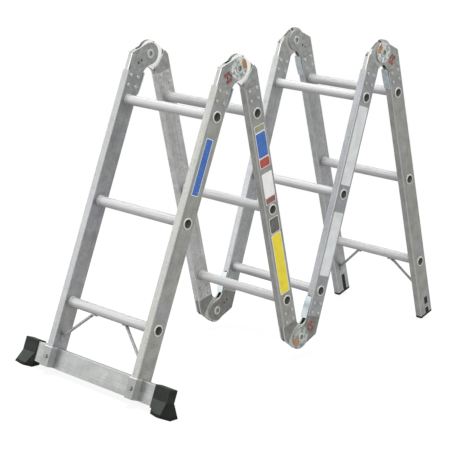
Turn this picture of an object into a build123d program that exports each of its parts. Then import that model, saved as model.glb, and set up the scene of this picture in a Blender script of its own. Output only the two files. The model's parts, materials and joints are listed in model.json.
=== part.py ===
from build123d import *
import math
import os

# Adjustable folding ladder: four aluminium sections of three rungs, joined top, bottom
# and top by three pairs of self-locking steel hinges, drawn standing open in a zigzag.
# X runs along the rungs, Y from the front feet to the rear feet, Z up. The origin is on
# the ground under the middle of the ladder. Lengths are millimetres, angles degrees.

# Sections and stance
outer_width = 350.0
rung_pitch = 280.0
open_front_top = 35.7
open_bottom = 32.4
open_rear_top = 33.7

# Stile extrusion
stile_depth = 55.0
stile_width = 22.0
stile_wall = 1.5
stile_corner = 2.5
hinge_end_past_rung = 75.0
front_end_past_rung = 183.5
rear_end_past_rung = 183.0

# Rungs
rung_diameter = 27.0
rung_wall = 1.8
rung_hole_fit = 0.1
flare_diameter = 31.0
flare_height = 2.4
collar_diameter = 31.5
collar_width = 3.6
collar_round = 1.2
groove_width = 1.6
groove_depth = 0.5
groove_step = 17.0
grooves_each_side = 5

# Hinge plates
pivot_past_rung = 137.5
fold_gap = 16.0
plate_gauge = 4.0
arm_fit = 0.2
plate_gap = 0.3
arm_past_rung_edge = 3.0
cheek_disc_diameter = 60.0
index_disc_diameter = 73.0
shoulder_drop = 14.0
shoulder_corner = 6.0
throat_radius = 45.0
shoulder_web_length = 20.0
shell_hollow_diameter = 88.0
horn_reach = 55.0
horn_drop = 9.0
horn_back_drop = 24.0
horn_corner = 2.0

# Pivot rivets and arm rivets
pivot_diameter = 16.0
pivot_head_diameter = 25.0
pivot_head_height = 1.7
pivot_bore_diameter = 13.5
pivot_bore_depth = 3.5
running_fit = 0.05
rivet_diameter = 6.0
rivet_hole_fit = 0.1
rivet_head_diameter = 10.5
rivet_head_height = 2.3
rivet_head_round = 2.0
rivet_row_spacing = 27.5
rivet_column_spacing = 27.5
rivet_end_margin = 10.0

# Locks: bar, index notches and release lever
lock_direction = 227.0
lock_width = 6.0
lock_depth = 9.0
lock_rim_gap = 0.4
lock_throw = 4.4
lock_lift = 2.6
lock_slot_fit = 0.3
lock_window_room = 2.5
notch_fit = 0.3
stem_thickness = 3.0
stem_length = 7.1
stem_head_width = 8.8
stem_head_depth = 3.0
scaffold_angle = 90.0
straight_angle = 180.0
lever_pin_diameter = 5.0
lever_pin_inset = 5.0
lever_pin_drop = 112.0
lever_width = 20.0
lever_gauge = 2.6
lever_foot_gap = 0.9
lever_tip_gap = 4.4
lever_bulge = 1.6
lever_tip_drop = 54.0
lever_tail_past_pin = 4.0
lug_gauge = 1.6
lug_gap = 0.4
lug_margin = 3.0
lug_slot_fit = 0.6
prong_gauge = 2.2
prong_gap = 0.5
prong_depth = 5.0
prong_reach = 7.0
tail_heel_rise = 2.5
spring_wire = 1.2
spring_gap = 0.3
spring_turns = 3.0
spring_tip_gap = 0.9

# Stabiliser bar and its feet
bar_depth = 22.0
bar_height = 55.0
bar_forward = 2.5
bar_top_past_rung = 129.0
bar_length = 554.0
bar_slot_fit = 0.15
front_reach = 198.0
sleeve_wall = 3.0
sleeve_length = 53.0
sleeve_fit = 0.1
foot_base_length = 72.0
foot_base_inset = 3.0
foot_base_front = 17.5
foot_base_rear = 16.0
foot_facet_length = 34.0
foot_inner_facet_length = 28.0
foot_facet_depth = 7.0
foot_waist_drop = 33.0
waist_facet = 3.0
sleeve_round = 3.0
saddle_gauge = 2.5
bolt_diameter = 6.0
bolt_hole_fit = 0.2
bolt_head_size = 10.0
bolt_head_height = 4.0
bolt_head_chamfer = 0.7
nut_height = 5.0
bolt_tail = 2.5

# Rear feet
pad_thickness = 9.0
pad_round = 4.0
plug_height = 55.0
plug_fit = 0.2
key_width = 15.0
key_offset = 4.0
key_bridge_low = 18.0
key_bridge_high = 31.0

# Braces under the lowest rungs
brace_diameter = 8.0
brace_gauge = 3.0
brace_flat_width = 12.0
brace_flat_length = 10.0
brace_tab = 13.0
brace_rung_inset = 88.0
brace_drop = 81.0

# Worked-out places
half_width = outer_width / 2
stile_x = half_width - stile_width / 2
cavity_depth = stile_depth - 2 * stile_wall
cavity_width = stile_width - 2 * stile_wall
cavity_corner = 2 * arm_fit
hinge_end = rung_pitch + hinge_end_past_rung
front_end = rung_pitch + front_end_past_rung
rear_end = rung_pitch + rear_end_past_rung
pivot_offset = (stile_depth + fold_gap) / 2
pivot_rise = rung_pitch + pivot_past_rung
rung_radius = rung_diameter / 2
channel_half = cavity_width / 2 - arm_fit
plate_inner = channel_half - plate_gauge
index_half = plate_inner - plate_gap

# Hinge-plate places, from the pivot: the stile lies below and on the negative side
stile_outer = -(pivot_offset + stile_depth / 2)
stile_inner = -(pivot_offset - stile_depth / 2)
arm_outer = -(pivot_offset + cavity_depth / 2 - arm_fit)
arm_inner = -(pivot_offset - cavity_depth / 2 + arm_fit)
stile_stop = hinge_end - pivot_rise
arm_foot = -pivot_past_rung + rung_radius + arm_past_rung_edge
cheek_disc = cheek_disc_diameter / 2
index_disc = index_disc_diameter / 2
shell_hollow = shell_hollow_diameter / 2
notch_floor = index_disc + lock_rim_gap - lock_throw - notch_fit
bar_inner = index_disc + lock_rim_gap
bar_outer = bar_inner + lock_depth
window_end = bar_outer + lock_lift + lock_window_room
stem_end = bar_outer + stem_length
lever_pin = (stile_inner - lever_pin_inset, -lever_pin_drop)
front_bar_face = bar_forward - bar_depth / 2
rear_bar_face = bar_forward + bar_depth / 2
bar_top = -(rung_pitch + bar_top_past_rung)
bar_bottom = bar_top - bar_height
rear_reach = rear_end + pad_thickness
ground_reach = rung_pitch + front_reach


def polar(radius, angle):
    """A point in the side plane at a radius and an angle about the origin."""
    turn = math.radians(angle)
    return (radius * math.cos(turn), radius * math.sin(turn))


def rectangle(low_q, high_q, low_v, high_v):
    """A face in the side plane between two across and two up-the-stile values."""
    middle = Pos((low_q + high_q) / 2, (low_v + high_v) / 2)
    return middle * Rectangle(high_q - low_q, high_v - low_v)


def radial_strip(angle, near, far, width):
    """A straight strip that lies along a radius of the pivot."""
    middle = polar((near + far) / 2, angle)
    return Pos(*middle) * Rot(0, 0, angle) * Rectangle(far - near, width)


def slab(face, low, high):
    """A face of the side plane made solid from x = low to x = high."""
    return Pos(low, 0, 0) * extrude(Plane.YZ * face, high - low, dir=(1, 0, 0))


def both_sides(face, near, far):
    """The same plate on either side of the middle plane."""
    return slab(face, near, far) + slab(face, -far, -near)


def rod(radius, low, high, place=(0.0, 0.0)):
    """A round bar along X."""
    return slab(Pos(*place) * Circle(radius), low, high)


# Hinge plates, drawn about the pivot

def rivet_places():
    """Arm rivet centres, two rows of two on the middle of the stile."""
    rows = (stile_stop - rivet_end_margin, stile_stop - rivet_end_margin - rivet_row_spacing)
    columns = (-pivot_offset - rivet_column_spacing / 2, -pivot_offset + rivet_column_spacing / 2)
    return [(q, v) for q in columns for v in rows]


def rivet_holes():
    """Faces of the arm rivets' holes."""
    holes = [Pos(*place) * Circle(rivet_diameter / 2 + rivet_hole_fit) for place in rivet_places()]
    return Sketch() + holes


def disc_outline(disc, outer, inner):
    """A disc about the pivot, with a straight shoulder out to a corner and a hollow throat
    in to the inner edge, ending square on the stile's cut end."""
    corner = (outer, -shoulder_drop)
    lean = math.degrees(math.atan2(-shoulder_drop, outer)) % 360
    shoulder = lean - math.degrees(math.acos(disc / math.hypot(*corner)))
    throat_q = inner + throat_radius
    throat_v = -math.sqrt((disc + throat_radius) ** 2 - throat_q ** 2)
    throat = math.degrees(math.atan2(throat_v, throat_q))
    middle = polar(throat_radius, (throat + 360) / 2)
    below = min(throat_v, stile_stop) - stile_depth
    outline = [
        Line((outer, below), corner),
        Line(corner, polar(disc, shoulder)),
        ThreePointArc(polar(disc, shoulder), polar(disc, (shoulder + throat) / 2), polar(disc, throat)),
        ThreePointArc(
            polar(disc, throat),
            (throat_q + middle[0], throat_v + middle[1]),
            (inner, throat_v),
        ),
        Line((inner, throat_v), (inner, below)),
        Line((inner, below), (outer, below)),
    ]
    face = make_face(outline)
    face = fillet(face.vertices().sort_by_distance(corner)[0], shoulder_corner)
    return face & rectangle(2 * outer, 2 * disc, stile_stop, 2 * disc)


def arm_face(outer, inner):
    """The part of a hinge plate that lies inside the stile."""
    return rectangle(outer, inner, arm_foot, stile_stop)


def channel_web(top):
    """The web that joins a channel's two plates along its outer edge."""
    below = rectangle(arm_outer, arm_outer + plate_gauge, arm_foot, stile_stop)
    return below + rectangle(stile_outer, stile_outer + plate_gauge, stile_stop, top)


def shoulder_web(disc):
    """The web's next stretch, up the shoulder towards the disc."""
    rise = math.degrees(math.asin(disc / math.hypot(stile_outer, shoulder_drop)))
    slope = rise + math.degrees(math.atan2(shoulder_drop, -stile_outer))
    strip = Rectangle(shoulder_web_length, plate_gauge, align=(Align.MIN, Align.MAX))
    return Pos(stile_outer, -shoulder_drop) * Rot(0, 0, slope) * strip


def cheek_channel():
    """Outer half of a hinge: a pressed channel whose two cheeks carry the pivot."""
    face = disc_outline(cheek_disc, stile_outer, stile_inner) + arm_face(arm_outer, arm_inner)
    web = channel_web(0) + shoulder_web(cheek_disc)
    web &= face
    face -= Circle(pivot_diameter / 2)
    face -= rivet_holes()
    face -= Pos(*lever_pin) * Circle(lever_pin_diameter / 2)
    window_width = lock_width + 2 * lock_slot_fit
    face -= radial_strip(lock_direction, notch_floor, window_end, window_width)
    plates = both_sides(face, plate_inner, channel_half)
    return plates + slab(web, -channel_half, channel_half)


def notch_angle(opening):
    """Where the lock bar stands on the index plate at a hinge opening."""
    return 180 - lock_direction + opening


def index_plate(step_angle):
    """Middle plate of the inner half: a disc with a lock notch for each set position."""
    outer = arm_outer + plate_gauge + plate_gap
    inner = arm_inner
    face = disc_outline(index_disc, outer, inner) + arm_face(outer, inner)
    face -= Circle(pivot_diameter / 2 + running_fit)
    face -= rivet_holes()
    for opening in (0.0, step_angle, scaffold_angle, straight_angle):
        strip = radial_strip(
            notch_angle(opening), notch_floor, index_disc + lock_depth, lock_width + 2 * notch_fit
        )
        face -= strip
    return slab(face, -index_half, index_half)


def tongue_shell():
    """Outer channel of the inner half: it ends in a horn and a hollow round the cheeks."""
    tip = (-horn_reach, -horn_drop)
    lean = math.degrees(math.atan2(-horn_drop, -horn_reach)) % 360
    touch = lean + math.degrees(math.acos(shell_hollow / math.hypot(*tip)))
    low = (stile_inner, -math.sqrt(shell_hollow ** 2 - stile_inner ** 2))
    low_angle = math.degrees(math.atan2(low[1], low[0])) % 360
    back = (stile_outer, -horn_back_drop)
    outline = [
        Line((stile_outer, stile_stop), back),
        Line(back, tip),
        Line(tip, polar(shell_hollow, touch)),
        ThreePointArc(polar(shell_hollow, touch), polar(shell_hollow, (touch + low_angle) / 2), low),
        Line(low, (stile_inner, stile_stop)),
        Line((stile_inner, stile_stop), (stile_outer, stile_stop)),
    ]
    face = make_face(outline)
    face = fillet(face.vertices().sort_by_distance(tip)[:1], horn_corner)
    face += arm_face(arm_outer, arm_inner)
    face -= rivet_holes()
    plates = both_sides(face, plate_inner, channel_half)
    return plates + slab(channel_web(-horn_back_drop), -channel_half, channel_half)


def pivot_rivet():
    """Hinge pivot, bored from both ends, with a ring-shaped head on each cheek."""
    body = rod(pivot_diameter / 2, -channel_half, channel_half)
    top = channel_half + pivot_head_height
    for side in (-1, 1):
        low, high = sorted((side * channel_half, side * top))
        head = rod(pivot_head_diameter / 2, low, high)
        rim = head.edges().filter_by(GeomType.CIRCLE).sort_by(Axis.X)[-1 if side > 0 else 0]
        head = fillet(rim, pivot_head_height / 2)
        body += head
        low, high = sorted((side * (top - pivot_bore_depth), side * top))
        body -= rod(pivot_bore_diameter / 2, low, high)
    return body


def arm_rivet(place):
    """Domed rivet through both walls of a stile and the hinge arm inside it."""
    half = stile_width / 2
    body = rod(rivet_diameter / 2, -half, half, place)
    for side in (-1, 1):
        low, high = sorted((side * half, side * (half + rivet_head_height)))
        head = rod(rivet_head_diameter / 2, low, high, place)
        rim = head.edges().filter_by(GeomType.CIRCLE).sort_by(Axis.X)[-1 if side > 0 else 0]
        body += fillet(rim, rivet_head_round)
    return body


# Locks

def lock_bar():
    """Bar that crosses both cheeks, with a stem and a head that the lever draws outward."""
    bar = slab(radial_strip(lock_direction, bar_inner, bar_outer, lock_width), -channel_half, channel_half)
    stem = radial_strip(lock_direction, bar_outer, stem_end + stem_head_depth, lock_width)
    head = radial_strip(lock_direction, stem_end, stem_end + stem_head_depth, lock_width)
    bar += slab(stem, -stem_thickness / 2, stem_thickness / 2)
    return bar + slab(head, -stem_head_width / 2, stem_head_width / 2)


def lever_edge(level):
    """How far out from the pivot line the lever's inner face stands at a level."""
    foot = lever_pin[1]
    share = (level - foot) / (-lever_tip_drop - foot)
    return stile_inner + lever_foot_gap + share * (lever_tip_gap - lever_foot_gap)


def release_lever():
    """Bowed sheet lever on the stile's narrow face, with two lugs on its pin and a forked
    tail under the head of the lock bar."""
    foot_v = lever_pin[1] - lever_tail_past_pin
    tip_v = -lever_tip_drop
    middle_v = (foot_v + tip_v) / 2
    foot = (lever_edge(foot_v), foot_v)
    tip = (lever_edge(tip_v), tip_v)
    leaf = make_face([
        Line(foot, tip),
        Line(tip, (tip[0] + lever_gauge, tip_v)),
        ThreePointArc(
            (tip[0] + lever_gauge, tip_v),
            (lever_edge(middle_v) + lever_gauge + lever_bulge, middle_v),
            (foot[0] + lever_gauge, foot_v),
        ),
        Line((foot[0] + lever_gauge, foot_v), foot),
    ])
    lever = slab(leaf, -lever_width / 2, lever_width / 2)

    eye = lever_pin_diameter / 2 + lug_margin
    lug = Pos(*lever_pin) * Circle(eye)
    reach = lever_edge(lever_pin[1] + eye) + lever_gauge / 2
    lug += rectangle(lever_pin[0], reach, foot_v, lever_pin[1] + eye)
    lug -= Pos(*lever_pin) * Circle(lever_pin_diameter / 2 + running_fit)
    lug_outer = plate_inner - lug_gap
    lever += both_sides(lug, lug_outer - lug_gauge, lug_outer)

    top = stem_end - prong_gap
    finger = radial_strip(lock_direction, top - prong_depth, top, 2 * prong_reach)
    corners = sorted(finger.vertices(), key=lambda v: v.X)[-2:]
    low, high = sorted(corners, key=lambda v: v.Y)
    tail = make_face(Polyline(
        (low.X, low.Y),
        (tip[0], stile_stop + tail_heel_rise),
        (tip[0] + lever_gauge / 2, tip_v),
        (tip[0], tip_v),
        (high.X, high.Y),
        close=True,
    ))
    prong_inner = stem_thickness / 2 + prong_gap
    return lever + both_sides(finger + tail, prong_inner, prong_inner + prong_gauge)


def lever_spring():
    """Torsion spring wound on the lever's pin, with a leg to the stile and one to the lever."""
    radius = lever_pin_diameter / 2 + spring_gap + spring_wire / 2
    pitch = spring_wire + spring_gap
    leg = lever_pin_inset + lever_foot_gap - spring_tip_gap
    coil = Helix(pitch, pitch * spring_turns, radius)
    start = coil @ 0
    finish = coil @ 1
    path = Wire([
        Line(start - (coil % 0) * leg, start),
        coil,
        Line(finish, finish + (coil % 1) * leg),
    ])
    section = Plane(path @ 0, z_dir=path % 0) * Circle(spring_wire / 2)
    wound = sweep(section, path)
    centred = Pos(0, 0, -pitch * spring_turns / 2) * wound
    return Pos(0, *lever_pin) * Rot(0, 90, 0) * centred


# Stiles

def lug_slot():
    """Opening in a stile's narrow wall for the lugs of a release lever, about the pivot."""
    eye = lever_pin_diameter / 2 + lug_margin + lug_slot_fit
    near, far = stile_inner - 2 * stile_wall, stile_inner + stile_wall
    face = rectangle(near, far, lever_pin[1] - eye, lever_pin[1] + eye)
    half = plate_inner - lug_gap + lug_slot_fit / 2
    return slab(face, -half, half)


def plain_stile(low, high):
    """A length of the stile extrusion with its three rung holes, about the middle rung."""
    ring = RectangleRounded(stile_width, stile_depth, stile_corner)
    ring -= RectangleRounded(cavity_width, cavity_depth, cavity_corner)
    stile = Pos(0, 0, low) * extrude(ring, high - low)
    for level in (-rung_pitch, 0, rung_pitch):
        stile -= rod(rung_radius + rung_hole_fit, -stile_width, stile_width, (0, level))
    return stile


def hinge_cuts(has_lever):
    """What a hinge cuts from the end of a stile, about the pivot."""
    holes = [rod(rivet_diameter / 2 + rivet_hole_fit, -stile_width, stile_width, p) for p in rivet_places()]
    return holes + ([lug_slot()] if has_lever else [])


def bar_slot():
    """Opening in a front stile for the stabiliser bar and its bolt."""
    front, rear = front_bar_face - bar_slot_fit, rear_bar_face + bar_slot_fit
    slot = rectangle(front, rear, -2 * front_end, bar_top + bar_slot_fit)
    hole = Cylinder(bolt_diameter / 2 + bolt_hole_fit, 2 * stile_depth, rotation=(90, 0, 0))
    return [slab(slot, -stile_width, stile_width), Pos(0, 0, bar_top - bar_height / 2) * hole]


def key_faces(broken):
    """Side keys of a rear foot, with the metal bridge that breaks the outer one."""
    low, high = key_offset - key_width / 2, key_offset + key_width / 2
    top = -rear_end + plug_height
    if not broken:
        return rectangle(low, high, -rear_end, top)
    below = rectangle(low, high, -rear_end, -rear_end + key_bridge_low)
    return below + rectangle(low, high, -rear_end + key_bridge_high, top)


def key_slots(side):
    """Openings in a rear stile's side walls for the keys of its foot."""
    half = stile_width / 2
    inner = slab(key_faces(False), -side * half - half / 2, -side * half + half / 2)
    outer = slab(key_faces(True), side * half - half / 2, side * half + half / 2)
    return [inner, outer]


# Rungs

def rung():
    """Ribbed tube with a collar inside each stile and a flared rim on each outer face."""
    inner_face = half_width - stile_width
    grip = Circle(rung_radius)
    first = -groove_step * (grooves_each_side - 1) / 2
    for facing in (90, 270):
        for count in range(grooves_each_side):
            angle = facing + first + groove_step * count
            grip -= radial_strip(angle, rung_radius - groove_depth, 2 * rung_radius, groove_width)
    tube = slab(grip, -inner_face, inner_face)
    for side in (-1, 1):
        low, high = sorted((side * (inner_face - collar_width), side * inner_face))
        collar = rod(collar_diameter / 2, low, high)
        tube += fillet(collar.edges().filter_by(GeomType.CIRCLE), collar_round)
        low, high = sorted((side * (inner_face - collar_width / 2), side * half_width))
        tube += rod(rung_radius, low, high)
        low, high = sorted((side * half_width, side * (half_width + flare_height)))
        flare = rod(flare_diameter / 2, low, high)
        rim = flare.edges().filter_by(GeomType.CIRCLE).sort_by(Axis.X)[-1 if side > 0 else 0]
        tube += fillet(rim, flare_height / 2)
    end = half_width + 2 * flare_height
    return tube - rod(rung_radius - rung_wall, -end, end)


# Stabiliser

def stabiliser_bar():
    """The same extrusion as a stile, laid across the front feet and drilled for two bolts."""
    ring = RectangleRounded(bar_depth, bar_height, stile_corner)
    ring -= RectangleRounded(bar_depth - 2 * stile_wall, bar_height - 2 * stile_wall, cavity_corner)
    ring = Pos(bar_forward, bar_top - bar_height / 2) * ring
    bar = slab(ring, -bar_length / 2, bar_length / 2)
    for side in (-1, 1):
        hole = Cylinder(bolt_diameter / 2 + bolt_hole_fit, 2 * stile_depth, rotation=(90, 0, 0))
        bar -= Pos(side * stile_x, 0, bar_top - bar_height / 2) * hole
    return bar


def saddle():
    """Folded plate that wraps the front of a front stile where the bar is bolted on."""
    half = stile_width / 2
    outer = Pos(0, -(stile_depth / 2 + saddle_gauge)) * Rectangle(
        stile_width + 2 * saddle_gauge, stile_depth / 2 + saddle_gauge + front_bar_face - bar_slot_fit,
        align=(Align.CENTER, Align.MIN),
    )
    inner = Pos(0, -stile_depth / 2) * Rectangle(2 * half, stile_depth, align=(Align.CENTER, Align.MIN))
    plate = Pos(0, 0, -front_end) * extrude(outer - inner, front_end + bar_top)
    hole = Cylinder(bolt_diameter / 2 + bolt_hole_fit, 2 * stile_depth, rotation=(90, 0, 0))
    return plate - Pos(0, 0, bar_top - bar_height / 2) * hole


def stabiliser_bolt():
    """Hexagon bolt through saddle, stile and bar, with its nut behind the stile."""
    front = -(stile_depth / 2 + saddle_gauge)
    rear = stile_depth / 2
    level = bar_top - bar_height / 2
    facing = Plane(origin=(0, front, level), x_dir=(1, 0, 0), z_dir=(0, 1, 0))
    shank = extrude(facing * Circle(bolt_diameter / 2), rear - front + nut_height + bolt_tail)
    head = extrude(facing * RegularPolygon(bolt_head_size / 2, 6, major_radius=False), -bolt_head_height)
    head = chamfer(head.faces().sort_by(Axis.Y)[0].edges(), bolt_head_chamfer)
    behind = Plane(origin=(0, rear, level), x_dir=(1, 0, 0), z_dir=(0, 1, 0))
    nut = RegularPolygon(bolt_head_size / 2, 6, major_radius=False) - Circle(bolt_diameter / 2)
    return [shank + head, extrude(behind * nut, nut_height)]


def ground_point(forward, lean):
    """A point of the ground, seen in the front section, a distance behind the bar's middle."""
    turn = math.radians(lean)
    return (bar_forward + forward * math.cos(turn), -ground_reach + forward * math.sin(turn))


def stabiliser_foot(lean):
    """Rubber boot on the right end of the bar, flared to a flat base on the ground."""
    outer = bar_length / 2 + sleeve_wall
    inner = outer - sleeve_length
    front = front_bar_face - sleeve_wall
    rear = rear_bar_face + sleeve_wall
    sleeve = slab(rectangle(front, rear, bar_bottom - sleeve_wall, bar_top + sleeve_wall), inner, outer)
    rims = sleeve.faces().sort_by(Axis.Z)[-1].edges().sort_by(Axis.X)[1:]
    rims += sleeve.faces().sort_by(Axis.X)[-1].edges().filter_by(Axis.Z)
    sleeve = fillet(rims, sleeve_round)
    waist = bar_top - foot_waist_drop
    waist_points = [
        (inner, rear), (inner, front + waist_facet), (inner + waist_facet, front),
        (outer - waist_facet, front), (outer, front + waist_facet), (outer, rear),
    ]
    base_inner = inner + foot_base_inset
    base_outer = base_inner + foot_base_length
    facet = -foot_base_front + foot_facet_depth
    base_points = [
        (base_inner, foot_base_rear), (base_inner, facet),
        (base_inner + foot_inner_facet_length, -foot_base_front),
        (base_outer - foot_facet_length, -foot_base_front),
        (base_outer, facet), (base_outer, foot_base_rear),
    ]
    upper = make_face(Polyline([(x, n, waist) for x, n in waist_points], close=True))
    lower = make_face(Polyline([(x, *ground_point(y, lean)) for x, y in base_points], close=True))
    boot = sleeve + loft([upper, lower], ruled=True)
    pocket = rectangle(
        front_bar_face - sleeve_fit, rear_bar_face + sleeve_fit, bar_bottom - sleeve_fit, bar_top + sleeve_fit
    )
    return boot - slab(pocket, inner - sleeve_length, bar_length / 2)


# Rear feet

def rear_foot(side):
    """Rubber pad under a rear stile, with a plug inside it and keys through its side walls."""
    half = stile_width / 2
    pad = extrude(RectangleRounded(stile_width, stile_depth, stile_corner), pad_thickness)
    ends = pad.edges().filter_by(Axis.X).group_by(Axis.Z)[0]
    pad = fillet(ends, pad_round)
    foot = Pos(0, 0, -rear_reach) * pad
    plug = extrude(
        RectangleRounded(cavity_width - 2 * plug_fit, cavity_depth - 2 * plug_fit, cavity_corner),
        plug_height - plug_fit,
    )
    foot += Pos(0, 0, -rear_end) * plug
    key_half = key_width / 2 - plug_fit
    root = rectangle(key_offset - key_half, key_offset + key_half, -rear_end, -rear_end + 2 * plug_fit)
    for outward, broken in ((-side, False), (side, True)):
        keys = offset(key_faces(broken), -plug_fit) + root
        low, high = sorted((outward * half / 2, outward * half))
        foot += slab(keys, low, high)
    return foot


# Braces

def brace():
    """Round bar from under the lowest rung, at the right, down to the stile's inner face, with
    both ends flattened and bent to lie against them."""
    rung_face = -rung_pitch - rung_radius
    stile_face = half_width - stile_width
    bend = (stile_face - brace_rung_inset, rung_face - brace_gauge / 2)
    heel = (stile_face - brace_gauge / 2, rung_face - brace_drop)
    run = math.dist(bend, heel)
    way = ((heel[0] - bend[0]) / run, (heel[1] - bend[1]) / run)
    near = (bend[0] + way[0] * brace_flat_length, bend[1] + way[1] * brace_flat_length)
    far = (heel[0] - way[0] * brace_flat_length, heel[1] - way[1] * brace_flat_length)
    flats = trace(Polyline((bend[0] - brace_tab, bend[1]), bend, near), brace_gauge)
    flats += trace(Polyline(far, heel, (heel[0], heel[1] - brace_tab)), brace_gauge)
    ends = extrude(Plane.XZ * flats, brace_flat_width / 2, both=True)
    start = (bend[0] + near[0]) / 2, (bend[1] + near[1]) / 2
    round_end = Plane(origin=(start[0], 0, start[1]), z_dir=(way[0], 0, way[1]))
    return ends + extrude(round_end * Circle(brace_diameter / 2), run - brace_flat_length)


# The standing zigzag

def chain(lean):
    """Lean and middle-rung centre of each section, for a lean of the front section, with
    that section's middle rung at the origin."""
    leans = [lean]
    leans.append(leans[0] - open_front_top)
    leans.append(leans[1] + open_bottom)
    leans.append(leans[2] - open_rear_top)
    offsets = [(pivot_offset, pivot_rise), (pivot_offset, -pivot_rise), (pivot_offset, pivot_rise)]
    centres = [(0.0, 0.0)]
    pivots = []
    for number, (across, up) in enumerate(offsets):
        pivot = stand(across, up, leans[number], centres[number])
        pivots.append(pivot)
        back = stand(-across, up, leans[number + 1], (0.0, 0.0))
        centres.append((pivot[0] - back[0], pivot[1] - back[1]))
    return leans, centres, pivots


def stand(across, up, lean, centre):
    """Ground-frame Y and Z of a point given across and up a section."""
    turn = math.radians(lean)
    return (
        centre[0] + across * math.cos(turn) + up * math.sin(turn),
        centre[1] - across * math.sin(turn) + up * math.cos(turn),
    )


def standing_lean():
    """Lean of the front section at which both pairs of feet reach the ground."""
    leans, centres, _ = chain(0.0)
    round_across = -(stile_depth / 2 - pad_round)
    rear = stand(round_across, -(rear_reach - pad_round), leans[3], centres[3])
    dy = rear[0] - bar_forward
    dz = rear[1] + ground_reach
    return math.degrees(math.atan2(dz, dy) - math.asin(pad_round / math.hypot(dy, dz)))


front_lean = standing_lean()
leans, centres, pivots = chain(front_lean)
ground = stand(bar_forward, -ground_reach, leans[0], centres[0])[1]
front_edge = stand(-(stile_depth / 2 + saddle_gauge), -front_end, leans[0], centres[0])[0]
rear_round = stand(stile_depth / 2 - pad_round, -(rear_reach - pad_round), leans[3], centres[3])
rear_edge = rear_round[0] + pad_round
shift = (-(front_edge + rear_edge) / 2, -ground)
stile_feet = {"front": -front_end, "second": -hinge_end, "third": -hinge_end, "rear": -rear_end}
sections = {
    title: Pos(0, centre[0] + shift[0], centre[1] + shift[1]) * Rot(-lean, 0, 0)
    for title, lean, centre in zip(stile_feet, leans, centres)
}

# Hinges: which section holds each half, and how that half is turned
hinge_places = {
    "front_top": {
        "step": open_front_top,
        "cheek": ("front", Pos(0, pivot_offset, pivot_rise)),
        "tongue": ("second", Pos(0, -pivot_offset, pivot_rise) * Rot(0, 0, 180)),
    },
    "bottom": {
        "step": open_bottom,
        "cheek": ("third", Pos(0, -pivot_offset, -pivot_rise) * Rot(180, 0, 0)),
        "tongue": ("second", Pos(0, pivot_offset, -pivot_rise) * Rot(0, 180, 0)),
    },
    "rear_top": {
        "step": open_rear_top,
        "cheek": ("rear", Pos(0, -pivot_offset, pivot_rise) * Rot(0, 0, 180)),
        "tongue": ("third", Pos(0, pivot_offset, pivot_rise)),
    },
}
sides = {"left": -1, "right": 1}

parts = {}
fasteners = {title: [] for title in sections}

# Hinges with their locks
channel = cheek_channel()
shell = tongue_shell()
pivot = pivot_rivet()
bar = lock_bar()
lever = release_lever()
spring = lever_spring()
pin = rod(lever_pin_diameter / 2, -channel_half, channel_half, lever_pin)
arm_rivets = [arm_rivet(place) for place in rivet_places()]

for name, hinge in hinge_places.items():
    cheek_section, cheek_place = hinge["cheek"]
    tongue_section, tongue_place = hinge["tongue"]
    plate = index_plate(hinge["step"])
    pair_pivots = []
    pair_springs = []
    for hand, side in sides.items():
        across = Pos(side * stile_x, 0, 0)
        cheek_at = sections[cheek_section] * across * cheek_place
        tongue_at = sections[tongue_section] * across * tongue_place
        parts[f"{name}_hinge_cheek_{hand}"] = [cheek_at * channel]
        parts[f"{name}_hinge_tongue_{hand}"] = [tongue_at * plate, tongue_at * shell]
        parts[f"{name}_lock_bar_{hand}"] = [cheek_at * bar]
        parts[f"{name}_release_lever_{hand}"] = [cheek_at * lever]
        pair_pivots.append(cheek_at * pivot)
        pair_springs.append(cheek_at * spring)
        fasteners[cheek_section] += [cheek_at * rivet for rivet in arm_rivets] + [cheek_at * pin]
        fasteners[tongue_section] += [tongue_at * rivet for rivet in arm_rivets]
    parts[f"{name}_hinge_pivots"] = pair_pivots
    parts[f"{name}_lever_springs"] = pair_springs

# Stiles and rungs
rung_solid = rung()
rung_levels = {"lower": -rung_pitch, "middle": 0.0, "upper": rung_pitch}
for title, foot in stile_feet.items():
    for level_name, level in rung_levels.items():
        parts[f"{title}_rung_{level_name}"] = [sections[title] * Pos(0, 0, level) * rung_solid]
    for hand, side in sides.items():
        stile = plain_stile(foot, hinge_end)
        for hinge in hinge_places.values():
            for half in ("cheek", "tongue"):
                section, place = hinge[half]
                if section == title:
                    for cut in hinge_cuts(half == "cheek"):
                        stile -= place * cut
        if title == "front":
            stile -= bar_slot()
        if title == "rear":
            stile -= key_slots(side)
        parts[f"{title}_stile_{hand}"] = [sections[title] * Pos(side * stile_x, 0, 0) * stile]

# Stabiliser, feet and braces
front_section, rear_section = sections["front"], sections["rear"]
parts["stabiliser_bar"] = [front_section * stabiliser_bar()]
right_foot = stabiliser_foot(front_lean)
parts["stabiliser_feet"] = [front_section * right_foot, front_section * mirror(right_foot, Plane.YZ)]
parts["stabiliser_saddles"] = []
parts["rear_feet"] = []
for side in sides.values():
    across = Pos(side * stile_x, 0, 0)
    parts["stabiliser_saddles"].append(front_section * across * saddle())
    parts["rear_feet"].append(rear_section * across * rear_foot(side))
    fasteners["front"] += [front_section * across * piece for piece in stabiliser_bolt()]
right_brace = brace()
for title, section in (("front", front_section), ("rear", rear_section)):
    parts[f"{title}_braces"] = [section * right_brace, section * mirror(right_brace, Plane.YZ)]
for title, pieces in fasteners.items():
    parts[f"{title}_fasteners"] = pieces

os.makedirs("parts", exist_ok=True)
for name, solids in parts.items():
    shape = solids[0] if len(solids) == 1 else Compound(children=solids)
    export_step(shape, f"parts/{name}.step")

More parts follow.
